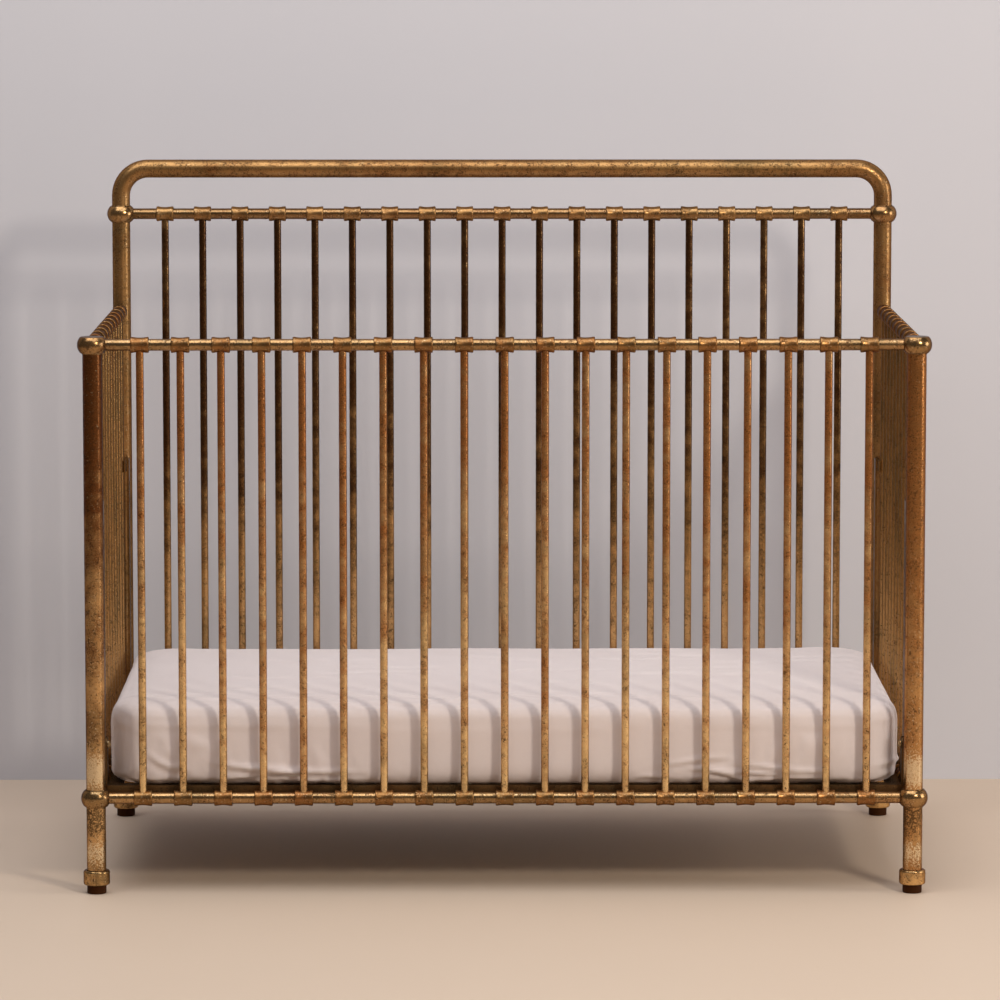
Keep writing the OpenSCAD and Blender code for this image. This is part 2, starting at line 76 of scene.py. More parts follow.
# One shader socket. Arithmetic on values adds Math nodes.
class Wire:
    def __init__(self, paint, socket):
        self.paint = paint
        self.socket = socket

    def math(self, operation, *others, first=None):
        values = (self, *others) if first is None else (first, self)
        return self.paint.add("ShaderNodeMath", {"operation": operation}, dict(enumerate(values)))

    def __add__(self, other):
        return self.math("ADD", other)

    def __radd__(self, other):
        return self.math("ADD", other)

    def __sub__(self, other):
        return self.math("SUBTRACT", other)

    def __rsub__(self, other):
        return self.math("SUBTRACT", first=other)

    def __mul__(self, other):
        return self.math("MULTIPLY", other)

    # 0 below low, 1 above high, smooth between
    def step(self, low, high):
        return self.paint.add(
            "ShaderNodeMapRange",
            {"interpolation_type": "SMOOTHSTEP"},
            {"Value": self, "From Min": low, "From Max": high},
        )


# A material under construction.
class Paint:
    def __init__(self, name):
        self.material = bpy.data.materials.new(name)
        self.material.use_nodes = True
        self.tree = self.material.node_tree
        self.tree.nodes.clear()
        self.place = self.add("ShaderNodeTexCoord", output="Object")

    # Adds any node: its settings first, then its sockets' values or links.
    def add(self, kind, settings=None, inputs=None, output=0):
        node = self.tree.nodes.new(kind)
        for key, value in (settings or {}).items():
            setattr(node, key, value)
        for key, value in (inputs or {}).items():
            if isinstance(value, Wire):
                self.tree.links.new(value.socket, node.inputs[key])
            else:
                node.inputs[key].default_value = value
        return Wire(self, node.outputs[output]) if node.outputs else None

    # Noise of this many cycles to the metre, spread round 0.5. Stretch scales each axis.
    def noise(self, cycles, detail=3, roughness=0.5, stretch=None, shift=0.0, distortion=0.0):
        at = self.place
        if stretch or shift:
            away = (shift, shift, shift)
            at = self.add(
                "ShaderNodeMapping",
                inputs={"Vector": at, "Scale": stretch or (1, 1, 1), "Location": away},
            )
        return self.add(
            "ShaderNodeTexNoise",
            inputs={
                "Vector": at,
                "Scale": cycles,
                "Detail": detail,
                "Roughness": roughness,
                "Distortion": distortion,
            },
        )

    # One axis of a vector: 0, 1 or 2.
    def split(self, vector, axis):
        return self.add("ShaderNodeSeparateXYZ", inputs={0: vector}, output=axis)

    # Mixes two colours, each of them a wire or three numbers.
    def blend(self, share, low, high):
        low, high = (end if isinstance(end, Wire) else (*end, 1) for end in (low, high))
        return self.add(
            "ShaderNodeMix", {"data_type": "RGBA"}, {0: share, 6: low, 7: high}, output=2
        )

    # A bump of this many metres from a height that runs from 0 to 1.
    def bump(self, height, depth, strength=1.0, under=None):
        inputs = {"Height": height, "Distance": depth, "Strength": strength}
        if under is not None:
            inputs["Normal"] = under
        return self.add("ShaderNodeBump", inputs=inputs)

    def finish(self, sockets):
        inputs = {
            key: (*value, 1) if isinstance(value, tuple) and len(value) == 3 else value
            for key, value in sockets.items()
        }
        shader = self.add("ShaderNodeBsdfPrincipled", inputs=inputs)
        self.add("ShaderNodeOutputMaterial", inputs={"Surface": shader})
        return self.material


antiqueGold = {
    "copper": (0.235, 0.090, 0.028),
    "gold": (0.37, 0.206, 0.077),
    "olive": (0.19, 0.116, 0.044),
    # dark stain, also used for painted shade
    "stainAndShadeColour": (0.026, 0.012, 0.006),
    # rubbed gold, also used for painted highlight
    "wearAndHighlightColour": (0.70, 0.54, 0.33),
    "rim": (0.10, 0.05, 0.025),  # what a grazing view sees
    "copperShare": 0.32,
    "paintedTopShade": 0.06,  # painted shade: how much more of the darker, redder copper is painted high up than near the floor
    "metallic": 0.93,
    "roughness": 0.205,
    "coat": 0.30,
    "patchCycles": 4.5,
    "cloudCycles": 42,
    "mottleCycles": 150,
    "speckCycles": 430,
    "stainAndShadeShare": 0.74,
    "wearAndHighlightShare": 0.48,
    "paintedLightBands": [],  # height, reach and strength; painted highlight above 0, painted shade below
}
hoopGold = dict(
    antiqueGold,
    copper=(0.195, 0.072, 0.020),
    gold=(0.375, 0.200, 0.072),
    olive=(0.185, 0.106, 0.038),
    roughness=0.33,
    coat=0.12,
    # painted shade along the top of the hoop
    paintedLightBands=[(1.154, 0.036, -0.09)],
)
spindleGold = dict(
    antiqueGold,
    copper=(0.45, 0.172, 0.047),
    gold=(0.88, 0.595, 0.275),
    olive=(0.41, 0.262, 0.107),
    copperShare=0.40,
    # painted shade: the spindles' tops much darker and redder than their lower parts
    paintedTopShade=0.52,
    metallic=0.90,
    roughness=0.25,
)
# Painted light: the left front post gets a darker copy of the finish, the right one a lighter copy
# below.
shadedLeftPostGold = dict(
    spindleGold,
    copper=(0.175, 0.059, 0.014),
    gold=(0.66, 0.385, 0.155),
    olive=(0.25, 0.145, 0.056),
    wearAndHighlightColour=(0.90, 0.72, 0.46),
    copperShare=0.46,
    # painted shade: tops much darker and redder
    paintedTopShade=0.60,
    coat=0.22,
    stainAndShadeShare=0.78,
    wearAndHighlightShare=0.76,
    # painted highlight at 0.203 m and 0.068 m, painted shade at 0.125 m
    paintedLightBands=[(0.203, 0.046, 0.58), (0.125, 0.045, -0.42), (0.068, 0.030, 0.36)],
)
# Painted light: a lighter, redder copy of the left post's finish for the right front post.
litRightPostGold = dict(
    shadedLeftPostGold,
    copper=(0.41, 0.168, 0.048),
    gold=(0.55, 0.295, 0.108),
    copperShare=0.44,
)
railGold = dict(antiqueGold, copper=(0.26, 0.104, 0.034), gold=(0.42, 0.240, 0.096), coat=0.34)
# Painted shade: a darker copy of the rail finish for the back top rail.
shadedBackRailGold = dict(railGold, copper=(0.19, 0.072, 0.021), gold=(0.31, 0.168, 0.062))
collarCopper = dict(
    antiqueGold,
    copper=(0.27, 0.102, 0.029),
    gold=(0.28, 0.138, 0.044),
    copperShare=0.50,
    roughness=0.32,
    coat=0.14,
)
endPanelGold = dict(
    antiqueGold,
    copper=(0.22, 0.078, 0.021),
    gold=(0.39, 0.215, 0.073),
    olive=(0.21, 0.130, 0.046),
    wearAndHighlightColour=(0.56, 0.41, 0.22),
    copperShare=0.24,
)
# Painted shade: a copy of the finish for the back spindles, very dark at their tops and lighter low
# down.
shadedBackPanelGold = dict(
    antiqueGold,
    copper=(0.088, 0.036, 0.010),
    gold=(0.60, 0.345, 0.133),
    olive=(0.28, 0.168, 0.063),
    wearAndHighlightColour=(0.60, 0.45, 0.25),
    copperShare=0.26,
    paintedTopShade=0.66,
    coat=0.22,
)
ferruleGold = dict(
    antiqueGold,
    copper=(0.48, 0.205, 0.070),
    gold=(0.72, 0.43, 0.168),
    paintedTopShade=0.0,
)
# Painted shade: a darker copy of the gold finish for the deck parts under the mattress.
shadedDeckGold = dict(
    antiqueGold,
    copper=(0.085, 0.033, 0.012),
    gold=(0.15, 0.085, 0.036),
    olive=(0.10, 0.066, 0.030),
    wearAndHighlightColour=(0.28, 0.19, 0.10),
    roughness=0.42,
    coat=0.1,
)
brassBolt = dict(
    antiqueGold,
    copper=(0.36, 0.20, 0.085),
    gold=(0.56, 0.41, 0.22),
    olive=(0.38, 0.29, 0.15),
    paintedTopShade=0.0,
)


# Copper warms and olive cools wide soft patches, small clouds and a finer mottle ride over them,
# dark stain collects in specks and the high points between them are rubbed to bright gold. On top
# of that, painted shade darkens parts the higher they stand, and bands at given heights are
# painted bright as highlight or dark as shade. The stained and shaded parts are dull and the
# rubbed and highlighted ones shine.
def metalFinish(name, look):
    paint = Paint(name)
    height = paint.split(paint.place, 2)
    patch = paint.noise(look["patchCycles"], 3, 0.5, distortion=0.4)
    cloud = paint.noise(look["cloudCycles"], 4, 0.6, shift=3.1)
    mottle = paint.noise(look["mottleCycles"], 4, 0.62, shift=9.4)
    speck = paint.noise(look["speckCycles"], 3, 0.6, shift=1.7)
    # Painted shade: copper, darker and redder, is painted more the higher a part stands.
    high = height.step(0.15, 0.85) * look["paintedTopShade"]
    warm = (patch - 0.5) * 0.9 + (cloud - 0.5) * 1.1 + high + look["copperShare"] - 0.12
    warm = warm.step(0.1, 0.9)
    cool = paint.noise(look["patchCycles"] * 1.9, 3, 0.5, shift=7.7) + (mottle - 0.5) * 0.5
    cool = cool.step(0.44, 0.72)
    # Painted light: shade higher up, then bands of painted highlight or painted shade at given
    # heights.
    paintedLight = high * -0.2
    for middle, reach, strength in look["paintedLightBands"]:
        paintedLight = paintedLight + (1 - (height - middle).math("ABSOLUTE") * (1 / reach)).step(0, 1) * strength
    # Dark stain in specks, plus painted shade high up and where the painted light is below 0.
    stainAndShadeMask = (cloud - 0.5) * 0.8 + (mottle - 0.5) * 1.2 + (speck - 0.5) * 2.1 - paintedLight
    stainAndShadeMask = stainAndShadeMask.step(0.06, 0.50)
    # Gold rubbed bright on the high points between specks, plus painted highlight in the bright
    # bands.
    wearAndHighlightMask = ((speck - 0.5) * -2.0 + (mottle - 0.5) * 0.7 + paintedLight).step(0.14, 0.44)
    gilt = paint.blend(cool * 0.8, look["gold"], look["olive"])
    body = paint.blend(warm, gilt, look["copper"])
    bright = paint.blend(wearAndHighlightMask * look["wearAndHighlightShare"], body, look["wearAndHighlightColour"])
    uneven = paint.bump(paint.noise(70, 2, 0.4, shift=5.3), 0.0005, 0.5)
    return paint.finish(
        {
            "Base Color": paint.blend(stainAndShadeMask * look["stainAndShadeShare"], bright, look["stainAndShadeColour"]),
            "Metallic": look["metallic"] + wearAndHighlightMask * 0.15 - stainAndShadeMask * 0.30,
            "Roughness": look["roughness"] + stainAndShadeMask * 0.22 + (cloud - 0.5) * 0.20,
            "Specular Tint": look["rim"],
            "Coat Weight": look["coat"] - stainAndShadeMask * (look["coat"] * 0.8),
            "Coat Roughness": 0.24,
            "Coat IOR": 1.45,
            "Normal": paint.bump(speck, 0.00030, 0.6, under=uneven),
        }
    )


# Bright zinc plate with faint spangle.
def zincPlate():
    paint = Paint("zincPlate")
    spangle = paint.add("ShaderNodeTexVoronoi", inputs={"Vector": paint.place, "Scale": 240})
    colour = paint.blend(spangle.step(0.1, 0.8), (0.60, 0.58, 0.54), (0.46, 0.45, 0.42))
    dull = 0.36 + spangle * 0.12
    return paint.finish({"Base Color": colour, "Metallic": 0.95, "Roughness": dull})


# Moulded brown plastic: fine grain, scuffed paler where it is rubbed.
def mouldedBrown():
    paint = Paint("mouldedBrown")
    scuff = paint.noise(60, 4, 0.7).step(0.55, 0.8)
    grain = paint.noise(900, 2, 0.5)
    return paint.finish(
        {
            "Base Color": paint.blend(scuff, (0.045, 0.014, 0.003), (0.080, 0.028, 0.008)),
            "Roughness": 0.55 + scuff * 0.2,
            "Specular IOR Level": 0.06,
            "Normal": paint.bump(grain, 0.0001, 0.5),
        }
    )


blushCotton = {
    "thread": (0.80, 0.71, 0.69),
    "shade": (0.73, 0.63, 0.61),
    "threads": 1900,  # to the metre
    "slub": 0.5,
}
creamTicking = {
    "thread": (0.86, 0.83, 0.77),
    "shade": (0.77, 0.73, 0.66),
    "threads": 1100,
    "slub": 0.8,
}


# Plain weave: two sets of ridges cross, one along x and one along y, both leaning into z so that
# they show on the walls too. Slubs are long soft noise along the threads.
def wovenCloth(name, look):
    paint = Paint(name)
    x, y, z = (paint.split(paint.place, axis) for axis in range(3))
    turn = look["threads"] * math.pi
    warp = ((x + z * 0.5) * turn).math("SINE")
    weft = ((y + z) * turn).math("SINE")
    weave = (warp * weft) * 0.5 + 0.5
    alongX = paint.noise(130, 3, 0.6, stretch=(0.12, 1, 1)) * 0.5
    alongY = paint.noise(130, 3, 0.6, stretch=(1, 0.12, 1), shift=2) * 0.5
    slub = alongX + alongY
    cloud = paint.noise(6, 3, 0.5)
    shade = (slub - 0.5) * look["slub"] + (cloud - 0.5) * 0.7 + weave * 0.18 + 0.4
    fold = paint.bump(slub, 0.0005, 0.35)
    return paint.finish(
        {
            "Base Color": paint.blend(shade, look["thread"], look["shade"]),
            "Roughness": 0.86,
            "Sheen Weight": 0.12,
            "Sheen Roughness": 0.5,
            "Normal": paint.bump(weave, 0.00012, 0.4, under=fold),
        }
    )


finishes = {
    "antique_gold": metalFinish("antiqueGold", antiqueGold),
    # painted shade: the deck's darker copy of the gold finish
    "aged_bronze": metalFinish("shadedDeckFinish", shadedDeckGold),
    "brass_bolts": metalFinish("brassBolts", brassBolt),
    "plated_steel": zincPlate(),
    "brown_glide": mouldedBrown(),
    "blush_sheet": wovenCloth("blushSheet", blushCotton),
    "ticking": wovenCloth("ticking", creamTicking),
}
endPanels = ["left_spindles", "right_spindles", "left_height_strips", "right_height_strips"]
rails = [name for name in nodes if name.endswith("_rail") and name != "back_top_rail"]
collars = [name for name in nodes if name.endswith("_collars") and name != "back_top_collars"]
ownFinish = {}
for look, own, names in (
    (shadedLeftPostGold, "shadedLeftPostGold", ["front_left_post"]),
    (litRightPostGold, "litRightPostGold", ["front_right_post"]),
    (hoopGold, "hoopGold", ["back_hoop", "back_left_post", "back_right_post", "back_top_collars"]),
    (shadedBackRailGold, "shadedBackRailGold", ["back_top_rail"]),
    (railGold, "railGold", rails),
    (collarCopper, "collarCopper", collars),
    (spindleGold, "spindleGold", ["front_spindles"]),
    (ferruleGold, "ferruleGold", ["foot_ferrules"]),
    (shadedBackPanelGold, "shadedBackPanelGold", ["back_spindles"]),
    (endPanelGold, "endPanelGold", endPanels),
):
    ownFinish.update(dict.fromkeys(names, metalFinish(own, look)))
slotOf = {part["node"]: part["material_slot"] for part in frame["record"]["subparts"]}
for name, node in nodes.items():
    node.data.materials.clear()
    node.data.materials.append(ownFinish.get(name, finishes[slotOf[name]]))
print("finishes:", len(finishes))


# Puts a grid of points, rows by columns, into a mesh of quads; either way round may close.
def gridMesh(name, points, closedRows=False, closedColumns=False):
    rows, columns = points.shape[:2]
    index = np.arange(rows * columns).reshape(rows, columns)
    if closedRows:
        index = np.vstack([index, index[:1]])
    if closedColumns:
        index = np.hstack([index, index[:, :1]])
    quads = [index[:-1, :-1], index[:-1, 1:], index[1:, 1:], index[1:, :-1]]
    return meshOf(name, points.reshape(-1, 3), np.stack(quads, axis=-1).reshape(-1, 4))


def meshOf(name, points, faces):
    mesh = bpy.data.meshes.new(name)
    mesh.from_pydata(points.tolist(), [], faces.tolist())
    mesh.update()
    return mesh


def addPiece(name, mesh, slot, body):
    piece = bpy.data.objects.new(name, mesh)
    bpy.context.scene.collection.objects.link(piece)
    mesh.shade_smooth()
    mesh.materials.clear()
    mesh.materials.append(finishes[slot])
    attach(piece, body)
    return piece


def pointsOf(mesh):
    points = np.empty(len(mesh.vertices) * 3)
    mesh.vertices.foreach_get("co", points)
    return points.reshape(-1, 3)


def setPoints(mesh, points):
    mesh.vertices.foreach_set("co", np.ascontiguousarray(points, dtype=np.float32).ravel())
    mesh.update()


def normalsOf(mesh):
    normals = np.empty(len(mesh.vertices) * 3)
    mesh.vertex_normals.foreach_get("vector", normals)
    return normals.reshape(-1, 3)


mattressSettings = {
    "cornerRadius": 0.075,
    "edgeRadius": 0.026,
    "lowEdgeRadius": 0.019,
    "crown": 0.003,  # rise of the top's middle
    "voxel": 0.0085,
    "shrink": 0.0015,  # the pad starts this much small and swells
    "pressure": 4.0,
    "frames": 16,
    "mostSwell": 0.004,
    "fill": 0.9,
}
sheetSettings = {
    "hemReach": 0.090,  # how far the sheet reaches in underneath
    "hemCorner": 0.055,
    "hemWidth": 0.009,
    "play": 0.0010,  # between the pad and the sheet
    "slack": 0.045,
    "taut": 0.002,
    "frames": 22,
    "mostMove": 0.0045,
    "cornerShare": 0.8,  # how much of each corner square is cut away; assumed
    "gathers": 366,
    "seed": 7,
}
# Where the sheet lies loose on the front: middle, reach along x, and reach up from the underside
looseSettings = [(-0.34, 0.11, 0.034), (0.42, 0.13, 0.032), (-0.56, 0.05, 0.040)]
# Creases on the front wall: x, height over the underside, half length, slant, width and depth
frontCreases = [
    (-0.396, 0.0265, 0.075, -0.17, 0.0046, 0.0058),
    (-0.353, 0.0175, 0.110, 0.05, 0.0042, 0.0054),
    (-0.330, 0.0085, 0.060, 0.02, 0.0036, 0.0030),
    (-0.556, 0.0380, 0.035, -0.45, 0.0060, 0.0034),
    (0.314, 0.0390, 0.060, 0.04, 0.0040, 0.0026),
    (0.360, 0.0160, 0.055, -0.19, 0.0040, 0.0050),
    (0.463, 0.0275, 0.075, -0.03, 0.0036, 0.0042),
    (0.432, 0.0205, 0.105, -0.06, 0.0034, 0.0042),
    (0.465, 0.0085, 0.070, 0.0, 0.0036, 0.0038),
    (0.245, 0.0120, 0.030, 0.12, 0.0040, 0.0026),
]
# Spans of the scattered creases, in the same order: without x for the walls' feet, then for the
# top's front margin and for its middle
footSpans = [(0.008, 0.045), (0.04, 0.09), (-0.2, 0.2), (0.004, 0.006), (0.0015, 0.0035)]
marginSpans = [
    (-0.62, 0.62),
    (-0.335, -0.235),
    (0.05, 0.11),
    (-0.42, -0.18),
    (0.006, 0.010),
    (0.0008, 0.0018),
]
middleSpans = [
    (-0.60, 0.60),
    (-0.22, 0.32),
    (0.06, 0.14),
    (-0.5, 0.3),
    (0.010, 0.016),
    (0.0008, 0.0016),
]


# A rounded rectangle's outline and its outward direction, at equal steps of arc length.
def planOutline(halfX, halfY, radius, count):
    straightX, straightY = halfX - radius, halfY - radius
    arc = math.pi / 2 * radius
    legs = np.array([straightY * 2, arc, straightX * 2, arc] * 2)
    start = np.concatenate([[0], np.cumsum(legs)])
    at = np.linspace(0, start[-1], count, endpoint=False)
    leg = np.searchsorted(start, at, side="right") - 1
    along = (at - start[leg]) / legs[leg]
    corners = np.array([(1, -1), (1, 1), (-1, 1), (-1, -1)]) * (straightX, straightY)
    quarter = leg // 2
    turn = (quarter + np.where(leg % 2, along, 0)) * math.pi / 2
    out = np.stack([np.cos(turn), np.sin(turn)], axis=-1)
    last, following = corners[quarter], corners[(quarter + 1) % 4]
    straight = last + (following - last) * along[:, None]
    onCorner = np.where((leg % 2)[:, None], following, straight)
    return onCorner + out * radius, out


# The block's section is carried round its plan outline: up the rounded side, then over the top to
# the middle line, and the same below.
def softBlock(name, halfX, halfY, low, high, settings):
    plan, out = planOutline(halfX, halfY, settings["cornerRadius"], 420)
    bend = np.linspace(0, math.pi / 2, 9)
    edge, lowEdge = settings["edgeRadius"], settings["lowEdgeRadius"]
    roundIn = np.concatenate([1 - np.cos(bend), np.ones(3)])
    roundUp = np.concatenate([1 - np.sin(bend), np.zeros(3)])
    flat = np.concatenate([np.zeros(9), [0.012, 0.026, 0.040]])
    side = np.linspace(0, 1, 12)[1:-1]
    section = list(zip(roundIn, roundUp, flat))
    rings = [(edge * i + f, high - edge * u) for i, u, f in section[::-1]]
    rings += [(0.0, high - edge - (high - low - edge - lowEdge) * s) for s in side]
    rings += [(lowEdge * i + f, low + lowEdge * u) for i, u, f in section]
    middle = np.stack([np.clip(plan[:, 0], halfY - halfX, halfX - halfY), plan[:, 1] * 0], axis=-1)
    steps = np.linspace(1, 0, 22)[1:]
    topRing, lowRing = plan - out * rings[0][0], plan - out * rings[-1][0]
    grid = [levelRing(middle + (topRing - middle) * s, high) for s in steps[::-1]]
    grid += [levelRing(plan - out * i, z) for i, z in rings]
    grid += [levelRing(middle + (lowRing - middle) * s, low) for s in steps]
    return gridMesh(name, np.array(grid)[:, ::-1], closedColumns=True)


# Flat points put at one height.
def levelRing(plan, z):
    return np.column_stack([plan, np.full(len(plan), z)])


def remesh(piece, voxel):
    changer = piece.modifiers.new("remesh", "REMESH")
    changer.mode = "VOXEL"
    changer.voxel_size = voxel
    keepShape(piece)


# Puts a piece's modified shape into its mesh and clears its modifiers.
def keepShape(piece):
    graph = bpy.context.evaluated_depsgraph_get()
    made = bpy.data.meshes.new_from_object(piece.evaluated_get(graph))
    piece.modifiers.clear()
    old = piece.data
    made.name = old.name
    piece.data = made
    bpy.data.meshes.remove(old)


def playCloth(piece, frames):
    piece.modifiers["cloth"].point_cache.frame_end = frames
    for step in range(1, frames + 1):
        bpy.context.scene.frame_set(step)
    keepShape(piece)
    bpy.context.scene.frame_set(1)


# Lays the underside flat, out to where its edge starts to rise.
def restFlat(points, low):
    points[:, 2] = np.where(points[:, 2] < low + 0.0025, low, points[:, 2])


# Holds each point within a distance of where it started.
def capMove(mesh, start, most):
    move = pointsOf(mesh) - start
    length = np.linalg.norm(move, axis=1, keepdims=True)
    setPoints(mesh, start + move * np.minimum(1, most / np.maximum(length, 1e-9)))


def addCloth(piece, mass, tension, bending):
    cloth = piece.modifiers.new("cloth", "CLOTH").settings
    cloth.quality = 6
    cloth.mass = mass
    cloth.tension_stiffness = cloth.compression_stiffness = tension
    cloth.shear_stiffness = tension * 0.5
    cloth.bending_stiffness = bending
    cloth.tension_damping = cloth.compression_damping = 12
    return cloth


# Smooth value noise: random values on a coarse lattice, blended by cosine steps.
def lattice(x, y, cell, seed):
    dice = np.random.default_rng(seed).random((64, 64))
    u, v = x / cell + 97.3, y / cell + 41.7
    i, j = np.floor(u).astype(int), np.floor(v).astype(int)
    fu, fv = (1 - np.cos((u - i) * math.pi)) / 2, (1 - np.cos((v - j) * math.pi)) / 2
    pick = lambda a, b: dice[a % 64, b % 64]
    low = pick(i, j) * (1 - fu) + pick(i + 1, j) * fu
    high = pick(i, j + 1) * (1 - fu) + pick(i + 1, j + 1) * fu
    return low * (1 - fv) + high * fv - 0.5


# The pad is a rounded block that air pressure swells between its edges.
def makeMattress(settings):
    lo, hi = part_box("mattress_core")
    less = settings["shrink"]
    block = softBlock("mattress_pad", hi.x - less, hi.y - less, lo.z, hi.z - less, settings)
    piece = addPiece("mattress_pad", block, "ticking", "mattress")
    remesh(piece, settings["voxel"])
    start = pointsOf(piece.data)
    cloth = addCloth(piece, 0.4, 20, 2.0)
    cloth.use_pressure = True
    cloth.uniform_pressure_force = settings["pressure"]
    cloth.effector_weights.gravity = 0
    playCloth(piece, settings["frames"])
    capMove(piece.data, start, settings["mostSwell"])
    points = pointsOf(piece.data)
    crown = np.clip(1 - (points[:, 0] / hi.x) ** 2, 0, 1)
    crown = crown * np.clip(1 - (points[:, 1] / hi.y) ** 2, 0, 1)
    points[:, 2] += np.where(points[:, 2] > hi.z - 0.006, (crown - 1) * settings["crown"], 0)
    restFlat(points, lo.z)
    for axis, most in enumerate((hi.x, hi.y, hi.z + 0.002)):
        points[:, axis] = np.clip(points[:, axis], -most if axis < 2 else lo.z, most)
    setPoints(piece.data, points)
    piece.data.shade_smooth()
    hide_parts("mattress_core")
    return piece


# The height of a set of creases. Each is a ridge of bell section with a shallower furrow along
# one side; it runs along u, slanting and swaying in v, and fades at both ends.
def creaseField(u, v, creases):
    lift = np.zeros(len(u))
    for k, (u0, v0, reach, slant, wide, high) in enumerate(creases):
        along = (u - u0) / reach
        off = (v - v0 - slant * (u - u0) - wide * 0.9 * np.sin(along * 2.1 + k * 1.7)) / wide
        fade = np.exp(-(along**4) - along**2 * 0.6)
        lift += high * fade * (np.exp(-(off**2)) - 0.6 * np.exp(-((off + 1.7) ** 2)))
    return lift


# Loose creases scattered over a patch: the spans are those of u, v, half length, slant, width
# and depth.
def scatter(dice, count, *spans):
    return np.column_stack([dice.uniform(*span, count) for span in spans])


# Creases lie along the walls' feet, slant over the top's front margin and wander on the top.
def addCreases(points, normals, low, settings):
    dice = np.random.default_rng(settings["seed"])
    x, y, z = points.T
    lift = creaseField(x, z - low, frontCreases) * np.clip(-normals[:, 1], 0, 1)
    for along, side in ((x, normals[:, 1]), (y, normals[:, 0]), (-y, -normals[:, 0])):
        reach = 0.60 if along is x else 0.30
        feet = scatter(dice, 13, (-reach, reach), *footSpans)
        lift += creaseField(along, z - low, feet) * np.clip(side, 0, 1)
    margin = scatter(dice, 26, *marginSpans)
    middle = scatter(dice, 20, *middleSpans)
    lift += creaseField(x, y, np.vstack([margin, middle])) * np.clip(normals[:, 2], 0, 1) ** 2
    wave = lattice(x, y * 3.0, 0.20, settings["seed"])
    lift += np.clip(normals[:, 2], 0, 1) * wave * 0.0016
    return points + normals * lift[:, None]


# True inside a rectangle with round corners.
def insideRound(x, y, halfX, halfY, radius):
    dx, dy = abs(x) - halfX + radius, abs(y) - halfY + radius
    outside = np.hypot(np.maximum(dx, 0), np.maximum(dy, 0))
    return outside + np.minimum(np.maximum(dx, dy), 0) < radius


# The sheet follows the pad, is cut out underneath inside its hem, and is let go with slack where
# it lies loose, so that it settles on the pad.
def makeSheet(settings, pad):
    lo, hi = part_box("fitted_sheet")
    outer = pointsOf(pad.data)
    normals = normalsOf(pad.data)
    outer = outer + normals * settings["play"]
    corners = np.empty(len(pad.data.loops), int)
    pad.data.loops.foreach_get("vertex_index", corners)
    faces = corners.reshape(-1, 4)
    x, y, z = outer[faces].mean(axis=1).T
    reach = settings["hemReach"]
    inHem = insideRound(x, y, hi.x - reach, hi.y - reach, settings["hemCorner"])
    opening = inHem & (z < lo.z + 0.006)
    used = np.unique(faces[~opening])
    renumber = np.full(len(outer), -1)
    renumber[used] = np.arange(len(used))
    points = outer[used]
    mesh = meshOf("fitted_sheet_cloth", points, renumber[faces[~opening]])
    piece = addPiece("fitted_sheet_cloth", mesh, "blush_sheet", "mattress")
    x, y, up = points[:, 0], points[:, 1], points[:, 2] - lo.z
    loose = np.full(len(points), 0.10)
    for middle, along, rise in looseSettings:
        near = np.exp(-(((x - middle) / along) ** 2) - (up / (rise * 1.6)) ** 2)
        loose = np.maximum(loose, near * (y < 0))
    ends, sides = (abs(x) - hi.x) / 0.09, (abs(y) - hi.y) / 0.09
    corner = np.exp(-(ends**2) - sides**2 - (up / 0.06) ** 2)
    loose = np.clip(np.maximum(loose, corner * 0.8), 0, 1)
    taut = piece.vertex_groups.new(name="taut")
    for step in range(21):
        these = np.flatnonzero(np.round((1 - loose) * 20) == step).tolist()
        taut.add(these, step / 20, "REPLACE")
    held = piece.vertex_groups.new(name="held")
    held.add(np.flatnonzero(up < 0.004).tolist(), 1.0, "REPLACE")
    collision = pad.modifiers.new("collision", "COLLISION")
    pad.collision.thickness_outer = 0.001
    cloth = addCloth(piece, 0.25, 12, 0.05)
    cloth.vertex_group_shrink = "taut"
    cloth.shrink_min = -settings["slack"]
    cloth.shrink_max = settings["taut"]
    cloth.vertex_group_mass = "held"
    piece.modifiers["cloth"].collision_settings.distance_min = 0.001
    playCloth(piece, settings["frames"])
    pad.modifiers.remove(collision)
    capMove(piece.data, points, settings["mostMove"])
    piece.vertex_groups.clear()
    finer = piece.modifiers.new("finer", "SUBSURF")
    finer.levels = finer.render_levels = 1
    keepShape(piece)
    points = addCreases(pointsOf(piece.data), normalsOf(piece.data), lo.z, settings)
    restFlat(points, lo.z)
    setPoints(piece.data, points)
    piece.data.shade_smooth()
    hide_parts("fitted_sheet")
    tall = hi.z - lo.z
    span = (2 * (hi.x + tall + reach), 2 * (hi.y + tall + reach))
    cornerCut = 4 * (tall + reach) ** 2 * settings["cornerShare"]
    flatArea = span[0] * span[1] - cornerCut
    return piece


# The elastic hem is a flat oval section carried round the opening; its gathers swell and pinch it
# every few millimetres.
def makeHem(settings):
    lo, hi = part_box("fitted_sheet")
    reach, wide = settings["hemReach"], settings["hemWidth"]
    plan, out = planOutline(hi.x - reach, hi.y - reach, settings["hemCorner"], 1300)
    turn = np.linspace(0, 2 * math.pi, 12, endpoint=False)
    phase = np.arange(len(plan)) / len(plan) * 2 * math.pi * settings["gathers"]
    swell = 1 + 0.16 * np.sin(phase) + 0.08 * np.sin(phase * 0.37)
    across = np.cos(turn)[None, :] * (wide / 2) * swell[:, None]
    up = (np.sin(turn)[None, :] + 1) * 0.0011 * swell[:, None]
    ring = plan[:, None, :] + out[:, None, :] * across[:, :, None]
    grid = np.concatenate([ring, lo.z + up[:, :, None]], axis=-1)
    return addPiece("sheet_hem", gridMesh("sheet_hem", grid, True, True), "blush_sheet", "mattress")


pad = makeMattress(mattressSettings)
sheetCloth = makeSheet(sheetSettings, pad)
makeHem(sheetSettings)
print("bedding:", len(pad.data.polygons), "and", len(sheetCloth.data.polygons), "faces")


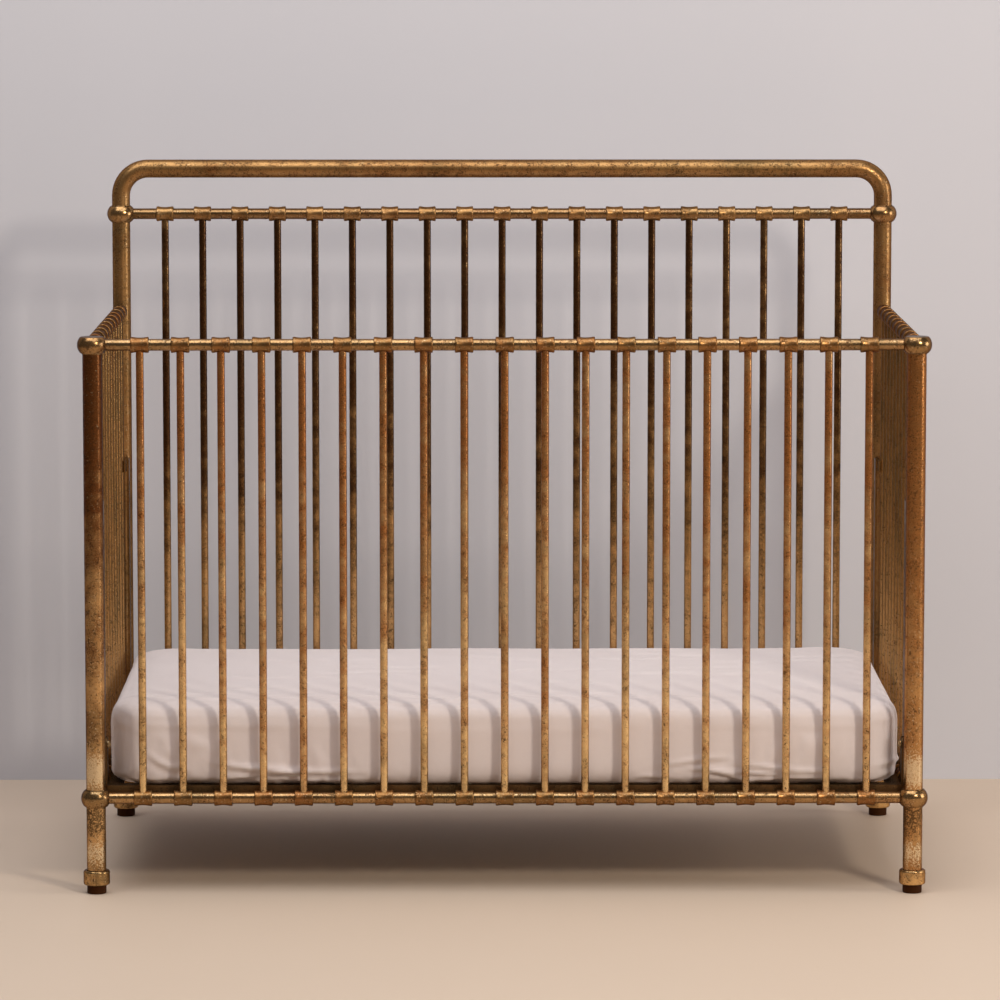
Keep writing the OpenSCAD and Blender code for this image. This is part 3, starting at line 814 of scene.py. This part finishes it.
stageSettings = {
    "floorSize": 40.0,
    "floorColour": (0.66, 0.52, 0.40),
    "wallColour": (0.635, 0.622, 0.655),
    "wallPlace": 0.74,
    "wallSize": (14.0, 6.0),
    "worldColour": (0.105, 0.10, 0.10),
}
# Place, target, size in metres, watts and colour of each lamp
lampSettings = {
    "sideWindow": {
        "place": (5.0, -1.2, 1.5),
        "aim": (0, -0.2, 0.55),
        "size": (1.8, 2.0),
        "watts": 60,
        "colour": (1.0, 0.965, 0.92),
    },
    "frontWindow": {
        "place": (2.35, -4.1, 2.9),
        "aim": (0, 0, 0.55),
        "size": (0.60, 0.72),
        "watts": 92,
        "colour": (1.0, 0.92, 0.80),
    },
    "ceiling": {
        "place": (-0.4, -1.4, 4.2),
        "aim": (0, -0.2, 0.3),
        "size": (4.6, 3.2),
        "watts": 140,
        "colour": (0.94, 0.96, 1.0),
    },
}


def makePlane(name, corners, material):
    mesh = meshOf(name, np.array(corners), np.array([[0, 1, 2, 3]]))
    mesh.materials.append(material)
    plane = bpy.data.objects.new(name, mesh)
    bpy.context.scene.collection.objects.link(plane)


def paleFloor(settings):
    paint = Paint("paleFloor")
    base = np.array(settings["floorColour"])
    colour = paint.blend(paint.noise(1.5, 3, 0.5), tuple(base * 0.985), tuple(base * 1.015))
    return paint.finish({"Base Color": colour, "Roughness": 0.6})


# A plain wall that is only there from its front.
def paleWall(settings):
    paint = Paint("paleWall")
    wall = paint.add("ShaderNodeBsdfDiffuse", inputs={"Color": (*settings["wallColour"], 1)})
    clear = paint.add("ShaderNodeBsdfTransparent")
    behind = paint.add("ShaderNodeNewGeometry", output="Backfacing")
    surface = paint.add("ShaderNodeMixShader", inputs={0: behind, 1: wall, 2: clear})
    paint.add("ShaderNodeOutputMaterial", inputs={"Surface": surface})
    return paint.material


def makeLamp(name, settings):
    data = bpy.data.lights.new(name, "AREA")
    data.shape = "RECTANGLE"
    data.size, data.size_y = settings["size"]
    data.energy = settings["watts"]
    data.color = settings["colour"]
    lamp = bpy.data.objects.new(name, data)
    bpy.context.scene.collection.objects.link(lamp)
    place, aim = np.array(settings["place"]), np.array(settings["aim"])
    lamp.location = place
    away = place - aim
    tilt = math.acos(away[2] / np.linalg.norm(away))
    lamp.rotation_euler = (tilt, 0, math.atan2(away[1], away[0]) + math.pi / 2)
    lamp.visible_camera = False


def makeWorld(settings):
    world = bpy.data.worlds.new("studio")
    world.use_nodes = True
    background = world.node_tree.nodes["Background"]
    background.inputs["Color"].default_value = (*settings["worldColour"], 1)
    bpy.context.scene.world = world


half = stageSettings["floorSize"] / 2
makePlane(
    "floor",
    [(-half, -half, 0), (half, -half, 0), (half, half, 0), (-half, half, 0)],
    paleFloor(stageSettings),
)
wide, high = stageSettings["wallSize"]
back = stageSettings["wallPlace"]
makePlane(
    "wall",
    [(-wide / 2, back, 0), (wide / 2, back, 0), (wide / 2, back, high), (-wide / 2, back, high)],
    paleWall(stageSettings),
)
for name, settings in lampSettings.items():
    makeLamp(name, settings)
makeWorld(stageSettings)
bpy.context.scene.view_settings.view_transform = "Standard"
print("stage: done")
